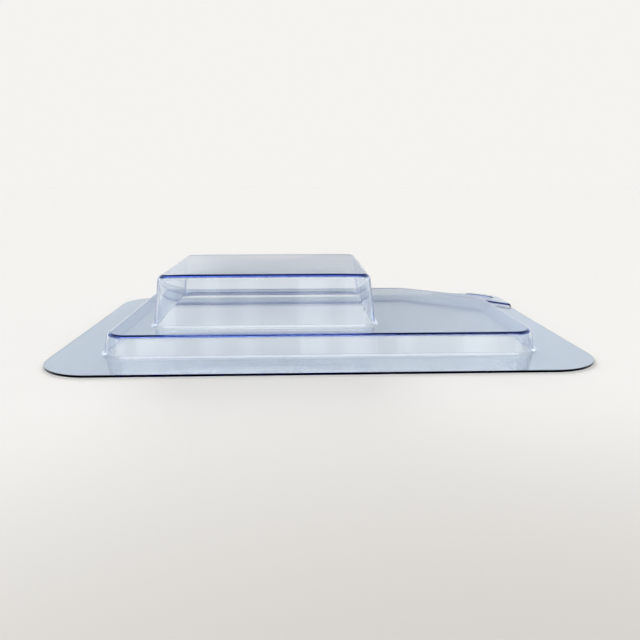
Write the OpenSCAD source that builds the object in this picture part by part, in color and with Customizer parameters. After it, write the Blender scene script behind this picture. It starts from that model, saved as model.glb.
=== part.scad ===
// Clear thermoformed tray for a medical device, lying on its flange with its hollow side down.
// One sheet of even thickness is formed into a shallow step, a deep pocket that stands on
// the step, and a raised corner that leaves a lid's corner free to be gripped and peeled.
// X runs along the tray, Y runs to its back edge and Z runs up from the table. The origin
// lies on the table under the tray's middle.

/* [Sheet] */
// Thickness of the formed sheet
sheet_t = 0.8; // [0.5:0.05:0.95]

/* [Flange] */
// Length of the tray along X
tray_l = 180; // [160:1:230]
// Width of the tray along Y
tray_w = 125; // [105:1:170]
// Radius of the two front corners
front_corner_r = 18; // [8:0.5:24]
// Radius of the two back corners
back_corner_r = 14; // [8:0.5:20]
// Width of the flange, from its cut edge to the foot of the step
flange_w = 16.5; // [12:0.5:22]

/* [Step] */
// Height of the step's top face above the table
step_h = 8.3; // [6.5:0.1:14]
// Lean of the step's wall from upright, in degrees
step_draft = 9; // [3:0.5:15]
// Radius of the step's corners, at its rim
step_corner_r = 7.8; // [4:0.2:14]
// Length of the slanting back corner, between its two round ends
slant_l = 31.6; // [12:0.2:44]
// Radius of the slant's two round ends, at the rim
slant_end_r = 8.8; // [4:0.2:14]
// Bend radius along the step's foot, on the sheet's upper face
step_foot_r = 1.5; // [0.5:0.1:2.5]
// Bend radius along the step's rim, on the sheet's upper face
step_rim_r = 1.6; // [1:0.1:2.6]

/* [Pocket] */
// Length of the pocket along X, at its foot
pocket_l = 77.6; // [50:0.2:95]
// Ledge between the left foot of the step and the left foot of the pocket
left_ledge = 15.3; // [8:0.1:24]
// Ledge between the front foot of the step and the front foot of the pocket
front_ledge = 10.9; // [7:0.1:20]
// Ledge between the back foot of the step and the back foot of the pocket
back_ledge = 15.5; // [7:0.1:24]
// Height of the pocket's top face above the table
pocket_h = 26.6; // [18:0.1:40]
// Lean of the pocket's wall from upright, in degrees
pocket_draft = 7; // [3:0.5:8]
// Radius of the pocket's corners, at its rim
pocket_corner_r = 3.4; // [3:0.1:12]
// Bend radius along the pocket's foot, on the sheet's upper face
pocket_foot_r = 1.5; // [0.5:0.1:2.5]
// Bend radius along the pocket's rim, on the sheet's upper face
pocket_rim_r = 2; // [1:0.1:2.2]

/* [Peel corner] */
// Length that the raised corner takes along each edge of the flange
peel_leg = 30; // [26:0.5:36]
// Rise of the raised corner above the flange
peel_rise = 1.3; // [1.2:0.1:2.5]
// Lean of the raised corner's riser from upright, in degrees
peel_draft = 30; // [20:1:45]
// Bend radius at the riser's foot and rim, on the sheet's upper face
peel_bend_r = 1; // [0.96:0.02:1.1]
// Distance of the grip rib from the flange's sharp corner, along the diagonal
rib_inset = 12; // [11.5:0.1:14]
// Length of the grip rib
rib_l = 16; // [10:0.5:18]
// Height of the grip rib above the raised corner
rib_h = 0.7; // [0.4:0.05:1]
// Radius of the grip rib's round top
rib_r = 2.4; // [2:0.1:3]

/* [Hidden] */
$fn = 96;

// Colour of the sheet: clear with a faint blue tint
sheet_colour = [0.72, 0.80, 0.92, 0.55];

// Flat steps in each bend of the sheet
bend_steps = 6;
// Flat border that a formed wall carries at its foot and at its rim, to join the flat sheet
border = 0.6;
// Overlap of two runs of a wall in the middle of a side, and spare length for cutting shapes
spare = 1;
// Reach of the wedge that cuts a round corner of under a quarter turn from a quarter turn
wedge_reach = 100;

// Places and radii are kept to whole microns, so that faces that meet agree
function micron(v) = round(v * 1000) / 1000;

// Lengths of a formed wall's section: how far the wall leans in over its rise, and how far
// each bend reaches along the flat sheet from where the wall's face would meet it
function lean(rise, draft) = rise * tan(draft);
function bend_reach(r, draft) = r * tan((90 - draft) / 2);
function rim_reach(rise, draft, rim_r) = lean(rise, draft) + bend_reach(rim_r, draft);

// Rises of the two walls, each from the flat sheet at its foot to the flat sheet at its rim
step_rise = step_h - sheet_t;
pocket_rise = pocket_h - step_h;

// The slanting back corner runs 4 along X for each 3 along Y
slant_x = 0.8 * slant_l;
slant_y = 0.6 * slant_l;
slant_heading = atan2(0.8, 0.6);

// Half sizes of the flange, and of the step at its foot
half_l = tray_l / 2;
half_w = tray_w / 2;
step_x = half_l - flange_w;
step_y = half_w - flange_w;

// Sides of the pocket at its foot
pocket_x0 = left_ledge - step_x;
pocket_x1 = pocket_x0 + pocket_l;
pocket_y0 = front_ledge - step_y;
pocket_y1 = step_y - back_ledge;

// Corner radii at the foot of each wall
step_foot_corner = micron(step_corner_r + lean(step_rise, step_draft));
slant_foot_end = micron(slant_end_r + lean(step_rise, step_draft));
pocket_foot_corner = micron(pocket_corner_r + lean(pocket_rise, pocket_draft));

// Middle of the grip rib, on the diagonal of the back right corner
rib_x = half_l - rib_inset * cos(45);
rib_y = half_w - rib_inset * sin(45);
// Height of the centre of the rib's round top above the raised corner's underside
rib_axis = sheet_t + rib_h - rib_r;
// Half width of the rib where it leaves the raised corner's top face
rib_half_w = sqrt(rib_r * rib_r - (rib_r - rib_h) * (rib_r - rib_h));
// Half length of the rib's straight stretch
rib_run = micron(rib_l / 2 - rib_half_w);

// A round corner is [centre x, centre y, radius, first heading of its outward normal, angle
// that it turns through]. An outline is a list of round corners, counterclockwise.
function box_outline(x0, y0, x1, y1, front_r, back_r) =
    [[x0 + front_r, y0 + front_r, front_r, 180, 90], [x1 - front_r, y0 + front_r, front_r, 270, 90],
     [x1 - back_r, y1 - back_r, back_r, 0, 90], [x0 + back_r, y1 - back_r, back_r, 90, 90]];

flange_outline = box_outline(-half_l, -half_w, half_l, half_w, front_corner_r, back_corner_r);
pocket_outline =
    box_outline(pocket_x0, pocket_y0, pocket_x1, pocket_y1, pocket_foot_corner, pocket_foot_corner);
step_outline =
    [[step_foot_corner - step_x, step_foot_corner - step_y, step_foot_corner, 180, 90],
     [step_x - step_foot_corner, step_foot_corner - step_y, step_foot_corner, 270, 90],
     [step_x - slant_foot_end, step_y - slant_foot_end - slant_y, slant_foot_end, 0, slant_heading],
     [step_x - slant_foot_end - slant_x, step_y - slant_foot_end, slant_foot_end, slant_heading,
      90 - slant_heading],
     [step_foot_corner - step_x, step_y - step_foot_corner, step_foot_corner, 90, 90]];

// Points along an arc
function arc(centre, r, from, to, steps) =
    [for (i = [0 : steps]) let (a = from + (to - from) * i / steps) centre + r * [cos(a), sin(a)]];
function corner_arc(c, margin, steps) = arc([c[0], c[1]], c[2] + margin, c[3], c[3] + c[4], steps);

// Length of the straight side between two round corners
function side_run(a, b) = norm(corner_arc(b, 0, 1)[0] - corner_arc(a, 0, 1)[1]);

// Plan of the flange, with true arcs at its corners
module flange_plan() {
    polygon([for (c = flange_outline) each [corner_arc(c, 0, 1)[0], [c[0], c[1]], corner_arc(c, 0, 1)[1]]]);
    for (c = flange_outline)
        translate([c[0], c[1]])
            rotate(c[3])
                intersection() {
                    circle(c[2]);
                    square(c[2] + spare);
                }
}

// Plan of an outline, grown outwards by a margin, whose edge lies hidden in a wall's border
module border_plan(path, margin) {
    polygon([for (c = path) each corner_arc(c, margin, bend_steps)]);
}

// Section of a formed wall with its two bends and its two flat borders. X is the distance
// outwards from where the wall's face would meet the lower sheet's upper face, and Y is the
// height above that face.
module wall_section(rise, draft, foot_r, rim_r) {
    foot = [bend_reach(foot_r, draft), foot_r];
    rim = [-rim_reach(rise, draft, rim_r), rise - rim_r];
    polygon(concat(
        [[foot[0] + border, 0]],
        arc(foot, foot_r, 270, 180 + draft, bend_steps),
        arc(rim, rim_r, draft, 90, bend_steps),
        [[rim[0] - border, rise], [rim[0] - border, rise - sheet_t]],
        arc(rim, rim_r - sheet_t, 90, draft, bend_steps),
        arc(foot, foot_r + sheet_t, 180 + draft, 270, bend_steps),
        [[foot[0] + border, -sheet_t]]));
}

// A quarter turn of a wall, about the centre of a round corner
module quarter_turn(r, rise, draft, foot_r, rim_r) {
    rotate_extrude(angle = 90)
        translate([r, 0])
            wall_section(rise, draft, foot_r, rim_r);
}

// The wall of one round corner, which turns through a quarter or less
module corner_wall(c, rise, draft, foot_r, rim_r) {
    quarter = 90 * floor(c[3] / 90);
    from = c[3] - quarter;
    to = from + c[4];
    rotate([0, 0, quarter])
        if (c[4] == 90)
            quarter_turn(c[2], rise, draft, foot_r, rim_r);
        else
            intersection() {
                quarter_turn(c[2], rise, draft, foot_r, rim_r);
                translate([0, 0, -sheet_t - spare])
                    linear_extrude(rise + sheet_t + 2 * spare)
                        polygon([[0, 0], wedge_reach * [cos(from), sin(from)],
                                 wedge_reach * [cos(to), sin(to)]]);
            }
}

// A straight run of wall whose face looks along a heading, from a distance before its corner
module straight_wall(heading, from, run, r, rise, draft, foot_r, rim_r) {
    rotate([90, 0, heading])
        translate([r, 0, from])
            linear_extrude(run)
                wall_section(rise, draft, foot_r, rim_r);
}

// A formed wall that follows an outline. Each round corner carries a straight run on both
// sides, and two runs overlap in the middle of each side.
module wall(path, rise, draft, foot_r, rim_r) {
    last = len(path) - 1;
    for (i = [0 : last]) {
        c = path[i];
        run_before = side_run(path[i == 0 ? last : i - 1], c) / 2 + spare;
        run_after = side_run(c, path[i == last ? 0 : i + 1]) / 2 + spare;
        translate([c[0], c[1], 0]) {
            corner_wall(c, rise, draft, foot_r, rim_r);
            straight_wall(c[3], 0, run_before, c[2], rise, draft, foot_r, rim_r);
            straight_wall(c[3] + c[4], -run_after, run_after, c[2], rise, draft, foot_r, rim_r);
        }
    }
}

// Plan of the back right corner beyond a diagonal that takes a leg off each edge
module corner_plan(leg) {
    polygon([[half_l - leg - spare, half_w + spare], [half_l + spare, half_w - leg - spare],
             [half_l + spare, half_w + spare]]);
}

// The flat flange round the step, up to the riser of the peel corner
module flange() {
    linear_extrude(sheet_t)
        difference() {
            flange_plan();
            border_plan(step_outline, bend_reach(step_foot_r, step_draft) + border / 2);
            corner_plan(peel_leg + (bend_reach(peel_bend_r, peel_draft) + border / 2) / sin(45));
        }
}

// The riser that crosses the flange diagonally, cut off at the flange's edge
module peel_riser() {
    intersection() {
        linear_extrude(sheet_t + peel_rise)
            flange_plan();
        translate([half_l + spare, half_w - peel_leg - spare, sheet_t])
            rotate([90, 0, 225])
                linear_extrude((peel_leg + 2 * spare) / sin(45))
                    wall_section(peel_rise, peel_draft, peel_bend_r, peel_bend_r);
    }
}

// A long dome about the rib's axis, cut off below a floor
module rib_dome(r, floor) {
    rotate([90, 0, 0])
        linear_extrude(2 * rib_run, center = true)
            intersection() {
                translate([0, rib_axis])
                    circle(r);
                translate([-r, floor])
                    square([2 * r, 2 * r]);
            }
    for (end = [0, 180])
        rotate([0, 0, end])
            translate([0, rib_run, 0])
                rotate_extrude(angle = 180)
                    intersection() {
                        translate([0, rib_axis])
                            circle(r);
                        translate([0, floor])
                            square([r, 2 * r]);
                    }
}

// The raised flat corner, with its hollow grip rib
module peel_flat() {
    flat_leg = peel_leg - (rim_reach(peel_rise, peel_draft, peel_bend_r) + border / 2) / sin(45);
    translate([0, 0, peel_rise])
        difference() {
            union() {
                linear_extrude(sheet_t)
                    intersection() {
                        flange_plan();
                        corner_plan(flat_leg);
                    }
                translate([rib_x, rib_y, 0])
                    rotate([0, 0, 45])
                        rib_dome(rib_r, sheet_t / 2);
            }
            translate([rib_x, rib_y, 0])
                rotate([0, 0, 45])
                    rib_dome(rib_r - sheet_t, -sheet_t / 2);
        }
}

// The step's top face, open where the pocket stands
module step_top() {
    translate([0, 0, step_h - sheet_t])
        linear_extrude(sheet_t)
            difference() {
                border_plan(step_outline, -rim_reach(step_rise, step_draft, step_rim_r) - border / 2);
                border_plan(pocket_outline, bend_reach(pocket_foot_r, pocket_draft) + border / 2);
            }
}

// The pocket's top face
module pocket_top() {
    translate([0, 0, pocket_h - sheet_t])
        linear_extrude(sheet_t)
            border_plan(pocket_outline, -rim_reach(pocket_rise, pocket_draft, pocket_rim_r) - border / 2);
}

module tray() {
    color(sheet_colour) {
        flange();
        peel_riser();
        peel_flat();
        translate([0, 0, sheet_t])
            wall(step_outline, step_rise, step_draft, step_foot_r, step_rim_r);
        step_top();
        translate([0, 0, step_h])
            wall(pocket_outline, pocket_rise, pocket_draft, pocket_foot_r, pocket_rim_r);
        pocket_top();
    }
}

tray();
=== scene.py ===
"""Clear thermoformed device tray that lies on its flange, with its table, light and camera."""

import math
from collections import namedtuple

import bmesh
import bpy
from mathutils import Matrix, Vector


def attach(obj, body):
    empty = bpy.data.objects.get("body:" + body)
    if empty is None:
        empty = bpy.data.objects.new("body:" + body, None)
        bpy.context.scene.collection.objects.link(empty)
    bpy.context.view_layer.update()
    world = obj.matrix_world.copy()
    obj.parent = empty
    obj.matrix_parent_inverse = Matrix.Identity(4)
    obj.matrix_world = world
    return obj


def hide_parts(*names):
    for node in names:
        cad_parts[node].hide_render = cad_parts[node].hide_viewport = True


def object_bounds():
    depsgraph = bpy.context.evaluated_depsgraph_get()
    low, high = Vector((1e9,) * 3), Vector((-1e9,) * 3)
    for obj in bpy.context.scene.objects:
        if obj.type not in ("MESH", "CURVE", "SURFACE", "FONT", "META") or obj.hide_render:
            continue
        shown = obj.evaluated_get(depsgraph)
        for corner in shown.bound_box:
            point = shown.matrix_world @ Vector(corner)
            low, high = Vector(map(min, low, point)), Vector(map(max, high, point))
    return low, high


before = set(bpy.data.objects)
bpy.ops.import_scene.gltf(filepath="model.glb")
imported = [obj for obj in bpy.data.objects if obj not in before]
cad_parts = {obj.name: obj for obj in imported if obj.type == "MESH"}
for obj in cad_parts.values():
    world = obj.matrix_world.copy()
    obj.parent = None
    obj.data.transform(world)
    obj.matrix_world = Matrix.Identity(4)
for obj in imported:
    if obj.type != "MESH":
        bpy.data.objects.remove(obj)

bl_info = {
    "name": "Thermoformed Device Tray",
    "version": (1, 0, 0),
    "blender": (4, 5, 0),
    "location": "3D View > Sidebar > Tray",
    "description": "Builds a clear formed plastic tray, the table that it lies on and its light",
    "category": "Add Mesh",
}

SOLID_LOW, SOLID_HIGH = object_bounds()

# Millimetre and micron in the scene's metres
MM = 0.001
MICRON = 0.000001

# The slanting back corner of the step runs 4 along X for each 3 along Y
SLANT_HEADING = math.atan2(4, 3)

# A round corner: its centre, its radius, the first heading of its outward normal, and the
# angle that it turns through, counterclockwise
Corner = namedtuple("Corner", "x y radius heading turn")


def length(name, description, default):
    """A length property whose default is in metres."""
    return bpy.props.FloatProperty(
        name=name, description=description, default=default, min=0.0, precision=5, unit="LENGTH"
    )


def angle(name, description, default):
    """An angle property whose default is in degrees."""
    return bpy.props.FloatProperty(
        name=name, description=description, default=math.radians(default), unit="ROTATION"
    )


def linear(code):
    """The linear RGBA colour of an sRGB hex code."""
    channels = [int(code[i:i + 2], 16) / 255 for i in (1, 3, 5)]
    return [c / 12.92 if c <= 0.04045 else ((c + 0.055) / 1.055) ** 2.4 for c in channels] + [1.0]


def colour(name, description, code):
    """A colour property whose default is an sRGB hex code."""
    return bpy.props.FloatVectorProperty(
        name=name,
        description=description,
        default=linear(code),
        size=4,
        min=0.0,
        max=1.0,
        subtype="COLOR",
    )


def number(name, description, default):
    """A plain number property."""
    return bpy.props.FloatProperty(name=name, description=description, default=default)


class TraySheetSizes(bpy.types.PropertyGroup):
    thickness: length("Thickness", "Thickness of the formed sheet", 0.8 * MM)
    tray_length: length("Length", "Length of the tray along X", SOLID_HIGH.x - SOLID_LOW.x)
    tray_width: length("Width", "Width of the tray along Y", SOLID_HIGH.y - SOLID_LOW.y)
    front_corner: length("Front corners", "Radius of the flange's front corners", 18 * MM)
    back_corner: length("Back corners", "Radius of the flange's back corners", 14 * MM)
    flange: length("Flange", "Width of the flange, from its cut edge to the foot of the step", 16.5 * MM)
    cut_edge: length("Cut edge", "Rounding that the cutting die leaves on the flange's edge", 0.06 * MM)
    grid: length("Grid", "Spacing of the cuts that let the flat sheet bend", 5 * MM)


class TrayStepSizes(bpy.types.PropertyGroup):
    height: length("Height", "Height of the step's top face above the table", 8.3 * MM)
    draft: angle("Draft", "Lean of the step's wall from upright", 9)
    corner: length("Corners", "Radius of the step's corners, at its rim", 7.8 * MM)
    slant: length("Slant", "Length of the slanting back corner, between its round ends", 31.6 * MM)
    slant_end: length("Slant ends", "Radius of the slant's round ends, at the rim", 8.8 * MM)
    foot_bend: length("Foot bend", "Bend radius along the step's foot", 1.5 * MM)
    rim_bend: length("Rim bend", "Bend radius along the step's rim", 1.6 * MM)


class TrayPocketSizes(bpy.types.PropertyGroup):
    height: length("Height", "Height of the pocket's top face above the table", SOLID_HIGH.z)
    foot_length: length("Length", "Length of the pocket along X, at its foot", 77.6 * MM)
    left_ledge: length("Left ledge", "Ledge between the left feet of the step and the pocket", 15.3 * MM)
    front_ledge: length("Front ledge", "Ledge between the front feet of the step and the pocket", 10.9 * MM)
    back_ledge: length("Back ledge", "Ledge between the back feet of the step and the pocket", 15.5 * MM)
    draft: angle("Draft", "Lean of the pocket's wall from upright", 7)
    corner: length("Corners", "Radius of the pocket's corners, at its rim", 3.4 * MM)
    foot_bend: length("Foot bend", "Bend radius along the pocket's foot", 1.5 * MM)
    rim_bend: length("Rim bend", "Bend radius along the pocket's rim", 2.0 * MM)
    crown: length("Crown", "Rise of the top's middle above its ends, left as the sheet cooled", 0.45 * MM)


class TrayPeelSizes(bpy.types.PropertyGroup):
    leg: length("Leg", "Length that the raised corner takes along each edge of the flange", 30 * MM)
    rise: length("Rise", "Rise of the raised corner above the flange", 1.3 * MM)
    draft: angle("Draft", "Lean of the raised corner's riser from upright", 30)
    bend: length("Bend", "Bend radius at the riser's foot and rim", 1.0 * MM)
    rib_inset: length("Rib inset", "Distance of the rib from the flange's sharp corner", 12 * MM)
    rib_length: length("Rib length", "Length of the grip rib", 16 * MM)
    rib_width: length("Rib width", "Width of the grip rib, with the soft run-out at its foot", 4.6 * MM)
    rib_height: length("Rib height", "Height of the grip rib above the raised corner", 0.7 * MM)


class TraySheetFinish(bpy.types.PropertyGroup):
    tint: colour("Tint", "Colour that a thick run of the sheet takes", "#3FB3F4")
    clear: colour("Clear", "Colour of the sheet's face", "#F8F8F8")
    # Painted shade: bend is painted into the face's colour in the bends, the upright corners and the rib,
    # where light inside the sheet looks dark blue
    bend: colour("Bend", "Colour that light takes inside a tight bend", "#22449C")
    # Painted shade: edge is painted into the cut edge's colour and reflection, where light along the sheet
    # looks near black
    edge: colour("Edge", "Colour of the cut edge, which looks right along the sheet", "#000004")
    density: number("Density", "Absorption of the tint's missing light, per metre", 122.0)
    streak: length("Streak", "Width of the faint upright streaks that forming draws down a wall", 3 * MM)
    ripple: length("Ripple", "Length of the slow ripples in the flat sheet", 40 * MM)


class TrayStudio(bpy.types.PropertyGroup):
    table: colour("Table", "Colour of the table and of the backdrop", "#F4F3F0")
    near: colour("Near table", "Colour of the table in the viewer's own shadow", "#D0CCC6")
    room: colour("Room", "Colour of the dim room between the backdrop and the window", "#A9AFB8")
    deep_room: colour("Deep room", "Colour of the room a little higher up", "#8A92A0")
    dusk: colour("Dusk", "Colour of the wall behind the tray, between the room and the ceiling", "#3C465C")
    sky: colour("Window light", "Colour of the light from high up", "#AEB2B6")
    panel: bpy.props.FloatVectorProperty(
        name="Ceiling light",
        description="Light of the panel overhead",
        default=(1.3, 1.3, 1.3, 1.0),
        size=4,
    )
    camera_x: length("Camera X", "Distance of the camera to the left of the tray's middle", 8.37 * MM)
    camera_y: length("Camera Y", "Distance of the camera in front of the tray's middle", 241.91 * MM)
    camera_z: length("Camera Z", "Height of the camera above the table", 58.13 * MM)
    pitch: angle("Pitch", "Angle that the camera looks down by", 12.83)
    yaw: angle("Yaw", "Angle that the camera is turned to the right by", 2.2)
    lens: number("Lens", "Focal length in mm, for a sensor 36 mm wide", 34.73)


SETTINGS = {
    "tray_sheet": TraySheetSizes,
    "tray_step": TrayStepSizes,
    "tray_pocket": TrayPocketSizes,
    "tray_peel": TrayPeelSizes,
    "tray_finish": TraySheetFinish,
    "tray_studio": TrayStudio,
}

# Straight pieces in each bend of the sheet, and in a quarter turn of a wall or of a cut edge
BEND_STEPS = 10
QUARTER_STEPS = 18
# Rows of faces up a wall between its bends, and the strip of flat sheet that goes with a bend
WALL_ROWS = 6
BEND_BORDER = 0.6 * MM

# Steps up the grip rib's side
RIB_STEPS = 12

# The least angle at which an edge of the cut counts as sharp, and how far up or down a face of
# the cut can look
SHARP_ANGLE = math.radians(50)
CUT_LEVEL = 0.45

# How far the peel corner's riser is drawn past its ends before it is trimmed
RISER_SPARE = 5 * MM

# How strongly the pocket's top bows from front to back, set against its bow from left to right
CROWN_ALONG = 0.6

# The most painted shade in the bends at the back walls' feet, and the painted shade on the rib
FOOT_PAINTED_SHADE = 0.6
RIB_PAINTED_SHADE = 0.45

# How far down a rim's bend its painted shade reaches, as a share of the bend's height. On the peel
# corner's riser it runs on past the bend.
RIM_SHADE_REACH = 0.6
RISER_SHADE_REACH = 1.3


def bend_reach(radius, draft):
    """How far a bend reaches along the flat sheet from where the wall's face would meet it."""
    return radius * math.tan((math.pi / 2 - draft) / 2)


def rim_reach(rise, draft, radius):
    """How far in from a wall's foot the flat sheet at its rim begins."""
    return rise * math.tan(draft) + bend_reach(radius, draft)


def heading_vector(heading):
    return Vector((math.cos(heading), math.sin(heading), 0.0))


def corner_end(corner, share):
    """The point of a round corner at a share of its turn."""
    heading = corner.heading + share * corner.turn
    return Vector((corner.x, corner.y, 0.0)) + corner.radius * heading_vector(heading)


def box_path(low, high, front_radius, back_radius):
    """The outline of a box with round corners, from its front left corner."""
    quarter = math.pi / 2
    return [
        Corner(low.x + front_radius, low.y + front_radius, front_radius, 2 * quarter, quarter),
        Corner(high.x - front_radius, low.y + front_radius, front_radius, 3 * quarter, quarter),
        Corner(high.x - back_radius, high.y - back_radius, back_radius, 0.0, quarter),
        Corner(low.x + back_radius, high.y - back_radius, back_radius, quarter, quarter),
    ]


def draw_line(bm, start, move):
    """Draws a straight edge from a vertex and gives the vertex at its far end."""
    end = bmesh.ops.extrude_vert_indiv(bm, verts=[start])["verts"][0]
    end.co += move
    return end


def draw_arc(bm, start, centre, axis, turn, steps):
    """Draws an arc from a vertex, about a centre, and gives the vertex at its far end."""
    swept = bmesh.ops.spin(
        bm,
        geom=[start],
        cent=centre,
        axis=axis,
        angle=turn,
        steps=steps,
        dvec=(0, 0, 0),
        use_duplicate=False,
    )
    return next(part for part in swept["geom_last"] if isinstance(part, bmesh.types.BMVert))


def wall_section(bm, rise, draft, foot_radius, rim_radius, rows, border):
    """Draws the section of a formed wall's upper face, in the XZ plane. X is the distance outwards
    from where the wall's face would meet the lower sheet, and Z the height above that sheet."""
    into_page = (0, 1, 0)
    turn = math.pi / 2 - draft
    foot_x = bend_reach(foot_radius, draft)
    rim_x = -rim_reach(rise, draft, rim_radius)
    first = bm.verts.new((foot_x + border, 0, 0))
    end = draw_line(bm, first, Vector((-border, 0, 0))) if border else first
    end = draw_arc(bm, end, (foot_x, 0, foot_radius), into_page, turn, BEND_STEPS)
    rim_start = Vector((rim_x + rim_radius * math.cos(draft), 0, rise - rim_radius * (1 - math.sin(draft))))
    row = (rim_start - end.co) / rows
    for _ in range(rows):
        end = draw_line(bm, end, row)
    end = draw_arc(bm, end, (rim_x, 0, rise - rim_radius), into_page, -turn, BEND_STEPS)
    if border:
        end = draw_line(bm, end, Vector((-border, 0, 0)))


def new_parts(bm, draw, *sizes):
    """Draws something and gives the vertices and edges that it added."""
    old = set(bm.verts) | set(bm.edges)
    draw(bm, *sizes)
    return [part for part in [*bm.verts, *bm.edges] if part not in old]


def move_parts(bm, parts, turn, shift):
    verts = [part for part in parts if isinstance(part, bmesh.types.BMVert)]
    bmesh.ops.rotate(bm, verts=verts, cent=(0, 0, 0), matrix=Matrix.Rotation(turn, 3, "Z"))
    bmesh.ops.translate(bm, verts=verts, vec=shift)


def draw_run(bm, section, move):
    """Extrudes a section along a straight run and gives the section at its far end."""
    edges = [part for part in section if isinstance(part, bmesh.types.BMEdge)]
    made = bmesh.ops.extrude_edge_only(bm, edges=edges)["geom"]
    verts = [part for part in made if isinstance(part, bmesh.types.BMVert)]
    bmesh.ops.translate(bm, verts=verts, vec=move)
    far = set(verts)
    far_edges = [
        part for part in made if isinstance(part, bmesh.types.BMEdge) and far.issuperset(part.verts)
    ]
    return verts + far_edges


def sweep(bm, section, path, height):
    """Sweeps a section that lies in the XZ plane right round an outline, at a height."""
    first = path[0]
    move_parts(bm, section, first.heading, corner_end(first, 0) + Vector((0, 0, height)))
    for i, corner in enumerate(path):
        swept = bmesh.ops.spin(
            bm,
            geom=section,
            cent=(corner.x, corner.y, 0),
            axis=(0, 0, 1),
            angle=corner.turn,
            steps=max(2, round(QUARTER_STEPS * corner.turn / (math.pi / 2))),
            dvec=(0, 0, 0),
            use_duplicate=False,
        )
        run = corner_end(path[(i + 1) % len(path)], 0) - corner_end(corner, 1)
        section = draw_run(bm, swept["geom_last"], run)


def draw_outline(bm, path, height):
    """Draws a closed outline with round corners, at a height."""
    first = bm.verts.new(corner_end(path[0], 0) + Vector((0, 0, height)))
    end = first
    for i, corner in enumerate(path):
        centre = (corner.x, corner.y, height)
        end = draw_arc(bm, end, centre, (0, 0, 1), corner.turn, QUARTER_STEPS)
        following = corner_end(path[(i + 1) % len(path)], 0)
        end = draw_line(bm, end, following - corner_end(corner, 1))
    bmesh.ops.pointmerge(bm, verts=[first, end], merge_co=first.co)


def merge_doubles(bm):
    bmesh.ops.remove_doubles(bm, verts=bm.verts, dist=MICRON)


def fill_level(bm, height):
    """Fills the flat sheet between the open edges that lie at a height."""
    edges = [
        edge for edge in bm.edges
        if len(edge.link_faces) < 2 and all(abs(vert.co.z - height) < MICRON / 2 for vert in edge.verts)
    ]
    bmesh.ops.triangle_fill(bm, edges=edges, use_beauty=True)


def cut_faces(bm, faces, point, normal):
    """Cuts faces by a plane and gives the faces on both sides."""
    parts = set(faces)
    for face in faces:
        parts.update(face.edges)
        parts.update(face.verts)
    cut = bmesh.ops.bisect_plane(bm, geom=list(parts), dist=MICRON / 10, plane_co=point, plane_no=normal)
    return [part for part in cut["geom"] if isinstance(part, bmesh.types.BMFace)]


def draw_rib(bm, width, height):
    """Draws half the section of the grip rib: a soft hump that dies out into the flat sheet."""
    end = bm.verts.new((width / 2, 0, 0))
    for i in range(RIB_STEPS):
        share = (i + 1) / RIB_STEPS
        lift = height * (1 - math.cos(math.pi * share)) / 2
        end = draw_line(bm, end, Vector((width / 2 * (1 - share), 0, lift)) - end.co)


def add_walls(bm, sheet, step, pocket):
    """Sweeps the step's wall and the pocket's wall."""
    half = Vector((sheet.tray_length / 2, sheet.tray_width / 2, 0))
    foot = half - Vector((sheet.flange, sheet.flange, 0))
    step_rise = step.height - sheet.thickness
    lean = step_rise * math.tan(step.draft)
    radius = step.corner + lean
    end_radius = step.slant_end + lean
    path = box_path(-foot, foot, radius, radius)
    inner = foot - Vector((end_radius, end_radius, 0))
    slant = step.slant * Vector((math.sin(SLANT_HEADING), math.cos(SLANT_HEADING), 0))
    path[2:3] = [
        Corner(inner.x, inner.y - slant.y, end_radius, 0.0, SLANT_HEADING),
        Corner(inner.x - slant.x, inner.y, end_radius, SLANT_HEADING, math.pi / 2 - SLANT_HEADING),
    ]
    section = new_parts(
        bm, wall_section, step_rise, step.draft, step.foot_bend, step.rim_bend, WALL_ROWS, BEND_BORDER
    )
    sweep(bm, section, path, sheet.thickness)
    corners = [(path[0], -1, -1), (path[1], 1, -1)]

    pocket_rise = pocket.height - step.height
    radius = pocket.corner + pocket_rise * math.tan(pocket.draft)
    low = Vector((pocket.left_ledge - foot.x, pocket.front_ledge - foot.y, 0))
    high = Vector((low.x + pocket.foot_length, foot.y - pocket.back_ledge, 0))
    section = new_parts(
        bm,
        wall_section,
        pocket_rise,
        pocket.draft,
        pocket.foot_bend,
        pocket.rim_bend,
        2 * WALL_ROWS,
        BEND_BORDER,
    )
    path = box_path(low, high, radius, radius)
    sweep(bm, section, path, step.height)
    corners += [(path[0], -1, -1), (path[1], 1, -1), (path[2], 1, 1), (path[3], -1, 1)]
    return low, high, corners


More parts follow.
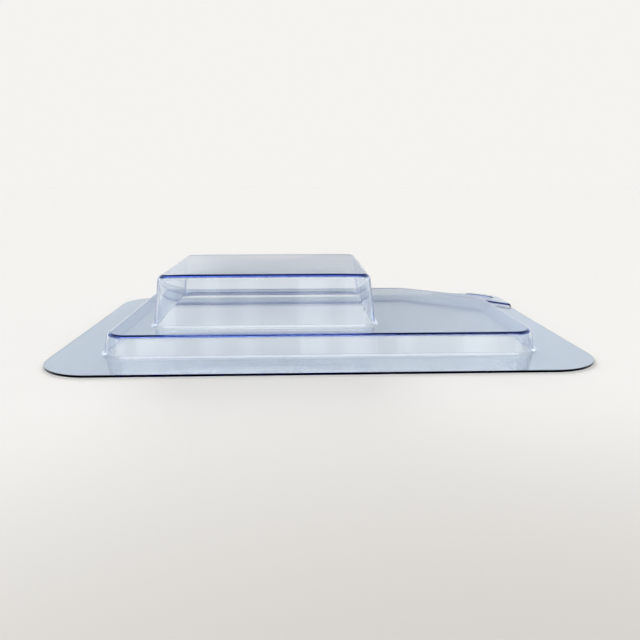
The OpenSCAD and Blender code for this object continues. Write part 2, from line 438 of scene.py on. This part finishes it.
def add_flange(bm, sheet, peel):
    """Draws the flange with its raised corner, the diagonal riser between them and the grip rib."""
    half = Vector((sheet.tray_length / 2, sheet.tray_width / 2, 0))
    diagonal = Vector((1, 1, 0)).normalized()
    along = Vector((-1, 1, 0)).normalized()
    riser = half - Vector((0, peel.leg, 0))
    up = Vector((0, 0, sheet.thickness))

    section = new_parts(bm, wall_section, peel.rise, peel.draft, peel.bend, peel.bend, 3, 0)
    move_parts(bm, section, math.radians(225), riser + up - RISER_SPARE * along)
    old = set(bm.faces)
    draw_run(bm, section, along * (peel.leg / math.sin(math.radians(45)) + 2 * RISER_SPARE))
    strip = [face for face in bm.faces if face not in old]
    for normal in (Vector((1, 0, 0)), Vector((0, 1, 0))):
        parts = {part for face in strip for part in [face, *face.edges, *face.verts]}
        cut = bmesh.ops.bisect_plane(
            bm, geom=list(parts), dist=MICRON / 10, plane_co=half, plane_no=normal, clear_outer=True
        )
        strip = [part for part in cut["geom"] if isinstance(part, bmesh.types.BMFace) and part.is_valid]

    old = set(bm.edges)
    draw_outline(bm, box_path(-half, half, sheet.front_corner, sheet.back_corner), sheet.thickness)
    rim = [edge for edge in bm.edges if edge not in old]
    faces = bmesh.ops.edgeloop_fill(bm, edges=rim)["faces"]
    foot_line = riser - diagonal * bend_reach(peel.bend, peel.draft)
    rim_line = riser + diagonal * rim_reach(peel.rise, peel.draft, peel.bend)
    for point in (foot_line, rim_line):
        faces = cut_faces(bm, faces, point + up, diagonal)
    faces.sort(key=lambda face: face.calc_center_median().dot(diagonal))
    flange, strip, corner = faces
    bmesh.ops.delete(bm, geom=[strip], context="FACES")
    bmesh.ops.translate(bm, verts=list(corner.verts), vec=(0, 0, peel.rise))
    bmesh.ops.delete(bm, geom=[flange, corner], context="FACES_ONLY")

    middle = half - peel.rib_inset * diagonal
    run = (peel.rib_length - peel.rib_width) / 2
    heading = math.radians(45)
    ends = [
        Corner(*(middle + run * along).xy, 0.0, heading, math.pi),
        Corner(*(middle - run * along).xy, 0.0, heading + math.pi, math.pi),
    ]
    rib = new_parts(bm, draw_rib, peel.rib_width, peel.rib_height)
    sweep(bm, rib, ends, sheet.thickness + peel.rise)


def crown_pocket(bm, step, pocket, low, high):
    """Lowers the ends of the pocket's top, where the sheet stretched most, so that its middle
    stands proud. The lowering dies out down the walls."""
    middle = (low + high) / 2
    half = (high - low) / 2
    for vert in bm.verts:
        share = (vert.co.z - step.height) / (pocket.height - step.height)
        if share > 0:
            across = (vert.co.x - middle.x) / half.x
            along = (vert.co.y - middle.y) / half.y
            bow = max(across * across, along * along * CROWN_ALONG)
            vert.co.z -= pocket.crown * bow * share * share


def rim_painted_shade(vert, top, radius, draft, reach=RIM_SHADE_REACH):
    """How much painted shade a vertex in a rim's bend takes, standing in for the dark blue line that
    light makes there: full from the top face down to a share of the bend, just above which it dies
    out. A bend that runs from front to back takes a fifth of the painted shade."""
    share = (top - vert.co.z) / (radius * (1 - math.sin(draft)))
    if abs(share) < 0.001:
        starts_bend = any(edge.other_vert(vert).co.z < vert.co.z - MICRON for edge in vert.link_edges)
        blue = 1.0 if starts_bend else 0.0
    else:
        blue = min(1.0, 5 * (reach - share)) if 0 < share < reach else 0.0
    across = abs(vert.normal.y) / (vert.normal.xy.length + MICRON)
    return blue * (0.2 + 0.8 * across)


def foot_painted_shade(vert, base, radius, draft):
    """How much painted shade a vertex in the bend of a back wall's foot takes, standing in for the blue
    line that light makes there.
    """
    share = (vert.co.z - base) / (radius * (1 - math.sin(draft)))
    faces_back = vert.normal.y > 0.1
    return FOOT_PAINTED_SHADE * math.sin(math.pi * share) if 0 < share < 1 and faces_back else 0.0


def corner_painted_shade(vert, corner, side_x, side_y):
    """How much painted shade a vertex in an upright corner takes: most where the corner turns to the
    side. The painted shade dies out at the rim and the foot, where the sheet turns level."""
    out_x = (vert.co.x - corner.x) * side_x
    out_y = (vert.co.y - corner.y) * side_y
    if out_x <= 0 or out_y <= 0 or math.hypot(out_x, out_y) > corner.radius + MM:
        return 0.0
    start = 0.7
    share = max(0.0, out_x / (out_x + out_y) - start) / (1 - start)
    return (1 - vert.normal.z) * math.sin(math.pi * share)


def paint_bend_shade(bm, sheet, step, pocket, peel, corners):
    """Marks each vertex's share of painted shade: the dark blue that light makes in the bends, the upright
    corners and the rib, which the sheet's material paints into its colour.
    """
    # The "bend" layer holds each vertex's share of painted shade
    mark = bm.verts.layers.float.new("bend")
    raised = sheet.thickness + peel.rise
    rib_foot = raised + 0.05 * MM
    riser_line = (sheet.tray_length + sheet.tray_width) / 2 - peel.leg - RISER_SPARE
    for vert in bm.verts:
        x, y, z = vert.co
        painted_shades = [
            rim_painted_shade(vert, step.height, step.rim_bend, step.draft),
            rim_painted_shade(vert, pocket.height, pocket.rim_bend, pocket.draft),
            foot_painted_shade(vert, sheet.thickness, step.foot_bend, step.draft),
            foot_painted_shade(vert, step.height, pocket.foot_bend, pocket.draft),
        ]
        if x + y > riser_line:
            painted_shades.append(rim_painted_shade(vert, raised, peel.bend, peel.draft, RISER_SHADE_REACH))
            painted_shades.append(RIB_PAINTED_SHADE if z > rib_foot else 0.0)
        if z > sheet.thickness + MICRON:
            painted_shades += [corner_painted_shade(vert, *corner) for corner in corners]
        vert[mark] = max(painted_shades)


def is_outer(point, sheet):
    """Whether a point lies on the flange, outside the step."""
    past_x = abs(point.x) - sheet.tray_length / 2
    past_y = abs(point.y) - sheet.tray_width / 2
    return max(past_x, past_y) > sheet.cut_edge - sheet.flange


def thicken(bm, sheet):
    """Gives the formed face its thickness, downwards, and trims what the riser's ends push out past
    the sides, so that the cut edge stands upright all round. Marks the faces of the cut edge, which take
    painted shade."""
    bmesh.ops.solidify(bm, geom=bm.faces[:], thickness=sheet.thickness)
    merge_doubles(bm)
    half = Vector((sheet.tray_length / 2, sheet.tray_width / 2, 0))
    for normal in (Vector((1, 0, 0)), Vector((0, 1, 0))):
        side = half + MICRON / 2 * normal
        whole = [*bm.verts, *bm.edges, *bm.faces]
        bmesh.ops.bisect_plane(
            bm, geom=whole, dist=MICRON / 10, plane_co=side, plane_no=normal, clear_outer=True
        )
        bmesh.ops.holes_fill(bm, edges=[edge for edge in bm.edges if edge.is_boundary])
    bmesh.ops.recalc_face_normals(bm, faces=bm.faces)
    sharp = [
        edge for edge in bm.edges
        if edge.calc_face_angle(0) > SHARP_ANGLE
        and is_outer((edge.verts[0].co + edge.verts[1].co) / 2, sheet)
    ]
    bmesh.ops.bevel(
        bm, geom=sharp, offset=sheet.cut_edge, segments=2, profile=0.5, affect="EDGES", material=-1
    )
    for vert in bm.verts:
        vert.co.x = min(vert.co.x, half.x)
        vert.co.y = min(vert.co.y, half.y)
    # The cut edge mark carries painted shade: the material paints these faces near black, in colour and in
    # reflection
    mark = bm.faces.layers.float.new("cut_edge")
    bm.normal_update()
    for face in bm.faces:
        if is_outer(face.calc_center_median(), sheet) and abs(face.normal.z) < CUT_LEVEL:
            face[mark] = 1.0


class TRAY_OT_sheet(bpy.types.Operator):
    """Builds the formed sheet: flange, raised corner, step and pocket in one piece"""

    bl_idname = "tray.sheet"
    bl_label = "Formed Sheet"

    def execute(self, context):
        scene = context.scene
        sheet, step = scene.tray_sheet, scene.tray_step
        pocket, peel = scene.tray_pocket, scene.tray_peel
        bm = bmesh.new()
        low, high, corners = add_walls(bm, sheet, step, pocket)
        add_flange(bm, sheet, peel)
        merge_doubles(bm)
        for height in (sheet.thickness, sheet.thickness + peel.rise, step.height, pocket.height):
            fill_level(bm, height)
        for axis, size in ((0, sheet.tray_length), (1, sheet.tray_width)):
            normal = Vector((0, 0, 0))
            normal[axis] = 1
            cuts = int(size / sheet.grid)
            for i in range(1, cuts):
                place = normal * (i / cuts - 0.5) * size
                whole = [*bm.verts, *bm.edges, *bm.faces]
                bmesh.ops.bisect_plane(bm, geom=whole, dist=MICRON, plane_co=place, plane_no=normal)
        merge_doubles(bm)
        bmesh.ops.recalc_face_normals(bm, faces=bm.faces)
        if sum(face.normal.z * face.calc_area() for face in bm.faces) < 0:
            bmesh.ops.reverse_faces(bm, faces=bm.faces)
        bm.normal_update()
        paint_bend_shade(bm, sheet, step, pocket, peel, corners)
        thicken(bm, sheet)
        crown_pocket(bm, step, pocket, low, high)
        for face in bm.faces:
            face.smooth = True
        mesh = bpy.data.meshes.new("formed_sheet")
        bm.to_mesh(mesh)
        bm.free()
        piece = bpy.data.objects.new("formed_sheet", mesh)
        scene.collection.objects.link(piece)
        shading = piece.modifiers.new("flat shading", "WEIGHTED_NORMAL")
        shading.keep_sharp = False
        mesh.materials.append(petg_sheet(scene.tray_finish))
        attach(piece, "root")
        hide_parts("tray")
        return {"FINISHED"}


def add_node(tree, kind, inputs=(), **settings):
    """Adds a node with its settings. An input's value is a number, a colour or an output to link."""
    node = tree.nodes.new(kind)
    for name, value in settings.items():
        setattr(node, name, value)
    for name, value in dict(inputs).items():
        if isinstance(value, bpy.types.NodeSocket):
            tree.links.new(value, node.inputs[name])
        else:
            node.inputs[name].default_value = value
    return node


def new_tree(datablock):
    datablock.use_nodes = True
    datablock.node_tree.nodes.clear()
    return datablock.node_tree


def set_ramp(node, stops):
    """Gives a colour ramp its stops, each a place and a colour."""
    ramp = node.color_ramp
    for place, _ in stops[2:]:
        ramp.elements.new(place)
    for element, (place, shade) in zip(ramp.elements, stops):
        element.position = place
        element.color = shade


# A streak's width over its length, its height, and the height of the ripples in the flat sheet
STREAK_RATIO = 0.08
STREAK_RELIEF = 0.01 * MM
RIPPLE_RELIEF = 0.12 * MM


def petg_sheet(finish):
    """Clear PETG sheet, vacuum formed. It is glossy on both faces and looks clear face on. Along
    the sheet, light travels far enough to turn blue. The blue lines that this makes in the bends,
    the upright corners and the rib are painted shade in the face's colour, and the cut edge's
    near-black look is painted shade in its colour and its reflection. Forming leaves faint upright
    streaks down the walls and slow ripples in the flat faces."""
    material = bpy.data.materials.new("petg_sheet")
    tree = new_tree(material)
    place = add_node(tree, "ShaderNodeTexCoord")
    across = 1 / finish.streak
    upwards = STREAK_RATIO / finish.streak
    streaks = add_node(
        tree,
        "ShaderNodeMapping",
        {"Vector": place.outputs["Object"], "Scale": (across, across, upwards)},
    )
    streak = add_node(
        tree, "ShaderNodeTexNoise", {"Vector": streaks.outputs["Vector"], "Scale": 1.0, "Detail": 1.0}
    )
    ripple = add_node(
        tree,
        "ShaderNodeTexNoise",
        {"Vector": place.outputs["Object"], "Scale": 1 / finish.ripple, "Detail": 1.0},
    )
    gloss = add_node(
        tree,
        "ShaderNodeMapRange",
        {"Value": ripple.outputs["Fac"], "From Min": 0.3, "From Max": 0.7, "To Min": 0.015, "To Max": 0.05},
    )
    face = add_node(tree, "ShaderNodeNewGeometry")
    facing = add_node(tree, "ShaderNodeSeparateXYZ", {"Vector": face.outputs["Normal"]})
    level = add_node(tree, "ShaderNodeMath", {0: facing.outputs["Z"]}, operation="ABSOLUTE")
    upright = add_node(
        tree,
        "ShaderNodeMapRange",
        {"Value": level.outputs[0], "From Min": 0.2, "From Max": 0.4, "To Min": 1.0, "To Max": 0.0},
    )
    drawn = add_node(
        tree,
        "ShaderNodeBump",
        {
            "Height": streak.outputs["Fac"],
            "Strength": upright.outputs["Result"],
            "Distance": STREAK_RELIEF,
        },
    )
    rippled = add_node(
        tree,
        "ShaderNodeBump",
        {
            "Height": ripple.outputs["Fac"],
            "Strength": 1.0,
            "Distance": RIPPLE_RELIEF,
            "Normal": drawn.outputs["Normal"],
        },
    )
    # Painted shade: the bend mark mixes the bend colour into the face's colour
    bend = add_node(tree, "ShaderNodeAttribute", attribute_name="bend")
    # Painted shade: the cut edge mark paints the cut edge near black
    cut = add_node(tree, "ShaderNodeAttribute", attribute_name="cut_edge")
    painted_edge_shade = tuple(finish.edge)
    bend_shaded = add_node(
        tree,
        "ShaderNodeMix",
        {0: bend.outputs["Fac"], 6: tuple(finish.clear), 7: tuple(finish.bend)},
        data_type="RGBA",
    )
    edge_shaded = add_node(
        tree,
        "ShaderNodeMix",
        {0: cut.outputs["Fac"], 6: bend_shaded.outputs[2], 7: painted_edge_shade},
        data_type="RGBA",
    )
    # Painted dark reflection: the cut edge's specular tint goes from white to the edge colour
    painted_edge_reflection = add_node(
        tree,
        "ShaderNodeMix",
        {0: cut.outputs["Fac"], 6: linear("#FFFFFF"), 7: painted_edge_shade},
        data_type="RGBA",
    )
    surface = add_node(
        tree,
        "ShaderNodeBsdfPrincipled",
        {
            "Base Color": edge_shaded.outputs[2],
            "Specular Tint": painted_edge_reflection.outputs[2],
            "Roughness": gloss.outputs["Result"],
            "IOR": 1.57,
            "Transmission Weight": 1.0,
            "Normal": rippled.outputs["Normal"],
        },
    )
    inside = add_node(
        tree, "ShaderNodeVolumeAbsorption", {"Color": tuple(finish.tint), "Density": finish.density}
    )
    add_node(
        tree,
        "ShaderNodeOutputMaterial",
        {"Surface": surface.outputs["BSDF"], "Volume": inside.outputs["Volume"]},
    )
    return material


# The table's half size, and the hair's breadth of air between it and the sheet
TABLE_REACH = 4.0
TABLE_DROP = 0.12 * MM

# The middle of the viewer's soft shadow on the table, and where the shadow begins and ends to fade
SHADOW_PLACE = (0.02, -0.27, 0.0)
SHADOW_INNER = 0.05
SHADOW_OUTER = 0.21

# Strength of the even light that falls on the matt table, beside the lamps
EVEN_LIGHT = 0.64

# Light bounces many times inside the sheet before it leaves at a bend or at the cut edge
SHEET_BOUNCES = 160


def table_top(studio):
    """Matt laminate table: an even pale face that takes a soft shadow. It gets darker and warmer
    towards the viewer, who stands in the light."""
    material = bpy.data.materials.new("table_laminate")
    tree = new_tree(material)
    place = add_node(tree, "ShaderNodeTexCoord")
    away = add_node(
        tree,
        "ShaderNodeVectorMath",
        {0: place.outputs["Object"], 1: SHADOW_PLACE},
        operation="DISTANCE",
    )
    light = add_node(
        tree,
        "ShaderNodeMapRange",
        {"Value": away.outputs["Value"], "From Min": SHADOW_INNER, "From Max": SHADOW_OUTER},
        interpolation_type="SMOOTHSTEP",
    )
    shade = add_node(
        tree,
        "ShaderNodeMix",
        {0: light.outputs["Result"], 6: tuple(studio.near), 7: tuple(studio.table)},
        data_type="RGBA",
    )
    surface = add_node(
        tree,
        "ShaderNodeBsdfPrincipled",
        {"Base Color": shade.outputs[2], "Roughness": 0.8, "Specular IOR Level": 0.0},
    )
    add_node(tree, "ShaderNodeOutputMaterial", {"Surface": surface.outputs["BSDF"]})
    return material


def room_walls(tree, axes, sight, studio):
    """The room's colours on all sides: pale low down, dim higher up and bright overhead. The wall
    behind the tray stays dark, and shows only as a mirror image, most in the bends of the rims."""
    pale, dusk, sky = tuple(studio.table), tuple(studio.dusk), tuple(studio.sky)
    low = ((0.0, pale), (0.08, pale), (0.2, tuple(studio.room)), (0.32, tuple(studio.deep_room)))
    high = ((0.5, sky), (0.78, sky), (0.86, tuple(studio.panel)))
    dark = ((0.42, dusk), (1.0, dusk))
    front_wall = add_node(tree, "ShaderNodeValToRGB", {"Fac": axes.outputs["Z"]})
    set_ramp(front_wall, low + high)
    back_wall = add_node(tree, "ShaderNodeValToRGB", {"Fac": axes.outputs["Z"]})
    set_ramp(back_wall, low + dark)
    away = add_node(
        tree,
        "ShaderNodeMapRange",
        {"Value": axes.outputs["Y"], "From Min": -0.35, "From Max": -0.1},
    )
    behind = add_node(
        tree,
        "ShaderNodeMath",
        {0: away.outputs["Result"], 1: sight.outputs["Is Transmission Ray"]},
        operation="SUBTRACT",
        use_clamp=True,
    )
    walls = add_node(
        tree,
        "ShaderNodeMix",
        {0: behind.outputs[0], 6: front_wall.outputs["Color"], 7: back_wall.outputs["Color"]},
        data_type="RGBA",
    )
    return walls.outputs[2]


def room_light(tree, axes):
    """How bright the room's walls are: bright upright bars in front, like a window's, and brighter
    low down on both sides."""
    front = add_node(
        tree,
        "ShaderNodeMapRange",
        {"Value": axes.outputs["Y"], "From Min": -0.2, "From Max": -0.6, "To Min": 0.0, "To Max": 1.1},
    )
    bars = add_node(
        tree,
        "ShaderNodeTexNoise",
        {"W": axes.outputs["X"], "Scale": 16.0, "Detail": 0.0},
        noise_dimensions="1D",
    )
    bar = add_node(
        tree,
        "ShaderNodeMapRange",
        {"Value": bars.outputs["Fac"], "From Min": 0.45, "From Max": 0.6},
    )
    aside = add_node(tree, "ShaderNodeMath", {0: axes.outputs["X"]}, operation="ABSOLUTE")
    side = add_node(
        tree,
        "ShaderNodeMapRange",
        {"Value": aside.outputs[0], "From Min": 0.1, "From Max": 0.36, "To Min": 0.0, "To Max": 0.8},
    )
    near_floor = add_node(
        tree,
        "ShaderNodeMapRange",
        {"Value": axes.outputs["Z"], "From Min": 0.35, "From Max": 0.45, "To Min": 1.0, "To Max": 0.0},
    )
    plain = add_node(
        tree,
        "ShaderNodeMath",
        {0: side.outputs["Result"], 1: near_floor.outputs["Result"], 2: 0.9},
        operation="MULTIPLY_ADD",
    )
    gain = add_node(
        tree,
        "ShaderNodeMath",
        {0: bar.outputs["Result"], 1: front.outputs["Result"], 2: plain.outputs[0]},
        operation="MULTIPLY_ADD",
    )
    return gain.outputs[0]


def studio_world(studio):
    """The room around the table. The camera sees the table's colour run on behind the tray. Clear
    and glossy faces see the room, and the matt table is lit by an even white."""
    world = bpy.data.worlds.new("studio")
    tree = new_tree(world)
    place = add_node(tree, "ShaderNodeTexCoord")
    axes = add_node(tree, "ShaderNodeSeparateXYZ", {"Vector": place.outputs["Generated"]})
    sight = add_node(tree, "ShaderNodeLightPath")
    lit = add_node(
        tree,
        "ShaderNodeVectorMath",
        {0: room_walls(tree, axes, sight, studio), "Scale": room_light(tree, axes)},
        operation="SCALE",
    )
    shade = add_node(
        tree,
        "ShaderNodeMix",
        {0: sight.outputs["Is Camera Ray"], 6: lit.outputs["Vector"], 7: tuple(studio.table)},
        data_type="RGBA",
    )
    seen = add_node(tree, "ShaderNodeBackground", {"Color": shade.outputs[2], "Strength": 1.0})
    even = add_node(tree, "ShaderNodeBackground", {"Color": linear("#FFFFFF"), "Strength": EVEN_LIGHT})
    through = add_node(
        tree,
        "ShaderNodeMath",
        {0: sight.outputs["Is Camera Ray"], 1: sight.outputs["Is Transmission Ray"]},
        operation="MAXIMUM",
    )
    is_seen = add_node(
        tree,
        "ShaderNodeMath",
        {0: through.outputs[0], 1: sight.outputs["Is Glossy Ray"]},
        operation="MAXIMUM",
    )
    mixed = add_node(
        tree,
        "ShaderNodeMixShader",
        {0: is_seen.outputs[0], 1: even.outputs["Background"], 2: seen.outputs["Background"]},
    )
    add_node(tree, "ShaderNodeOutputWorld", {"Surface": mixed.outputs["Shader"]})
    return world


def add_lamp(scene, name, kind, place, **settings):
    """Adds a lamp with its settings, turned from its place towards the middle of the table."""
    lamp = bpy.data.lights.new(name, kind)
    for setting, value in settings.items():
        setattr(lamp, setting, value)
    holder = bpy.data.objects.new(name, lamp)
    holder.location = place
    holder.rotation_euler = (-holder.location).to_track_quat("-Z", "Y").to_euler()
    scene.collection.objects.link(holder)
    return holder


def add_lamps(scene):
    """Adds two soft windows behind the tray, which cast its shadow, and a strip high in front,
    which only adds highlights."""
    window = add_lamp(scene, "window", "SUN", (-0.2, 0.9, 0.98), energy=0.9, angle=math.radians(36))
    window.visible_glossy = False
    low = add_lamp(scene, "low_window", "SUN", (-0.1, 0.94, 0.34), energy=1.38, angle=math.radians(25))
    low.visible_glossy = False
    low.visible_transmission = False
    strip = add_lamp(
        scene, "strip", "AREA", (0.0, -0.6, 0.8), shape="RECTANGLE", size=1.4, size_y=0.9, energy=16.0
    )
    strip.visible_diffuse = False
    strip.visible_transmission = False


def add_camera(scene, studio):
    """Adds the camera, which sees the tray from where the photo was taken."""
    lens = bpy.data.cameras.new("camera")
    lens.sensor_width = 36.0
    lens.lens = studio.lens
    lens.clip_start = 0.01
    camera = bpy.data.objects.new("camera", lens)
    camera.location = (-studio.camera_x, -studio.camera_y, studio.camera_z)
    camera.rotation_euler = (math.pi / 2 - studio.pitch, 0.0, -studio.yaw)
    scene.collection.objects.link(camera)
    scene.camera = camera


class TRAY_OT_stage(bpy.types.Operator):
    """Adds the table, the room, the lamps and the camera"""

    bl_idname = "tray.stage"
    bl_label = "Table, Light and Camera"

    def execute(self, context):
        scene = context.scene
        studio = scene.tray_studio
        bm = bmesh.new()
        drop = Matrix.Translation((0.0, 0.0, -TABLE_DROP))
        bmesh.ops.create_grid(bm, x_segments=1, y_segments=1, size=TABLE_REACH, matrix=drop)
        mesh = bpy.data.meshes.new("table")
        bm.to_mesh(mesh)
        bm.free()
        table = bpy.data.objects.new("table", mesh)
        scene.collection.objects.link(table)
        mesh.materials.append(table_top(studio))

        scene.world = studio_world(studio)
        add_lamps(scene)
        add_camera(scene, studio)
        scene.view_settings.view_transform = "Standard"
        scene.cycles.blur_glossy = 0.0
        scene.cycles.max_bounces = SHEET_BOUNCES
        scene.cycles.transmission_bounces = SHEET_BOUNCES
        scene.cycles.glossy_bounces = SHEET_BOUNCES
        return {"FINISHED"}


class VIEW3D_PT_tray(bpy.types.Panel):
    """Lists the sizes and colours of the tray and the operators that build it"""

    bl_label = "Formed Tray"
    bl_space_type = "VIEW_3D"
    bl_region_type = "UI"
    bl_category = "Tray"

    def draw(self, context):
        for name, group in SETTINGS.items():
            box = self.layout.box()
            for prop in group.__annotations__:
                box.prop(getattr(context.scene, name), prop)
        self.layout.operator(TRAY_OT_sheet.bl_idname)
        self.layout.operator(TRAY_OT_stage.bl_idname)


CLASSES = (*SETTINGS.values(), TRAY_OT_sheet, TRAY_OT_stage, VIEW3D_PT_tray)


def register():
    for cls in CLASSES:
        bpy.utils.register_class(cls)
    for name, group in SETTINGS.items():
        setattr(bpy.types.Scene, name, bpy.props.PointerProperty(type=group))


def unregister():
    for name in SETTINGS:
        delattr(bpy.types.Scene, name)
    for cls in reversed(CLASSES):
        bpy.utils.unregister_class(cls)


def main():
    register()
    bpy.ops.tray.sheet()
    bpy.ops.tray.stage()


if __name__ == "__main__":
    main()
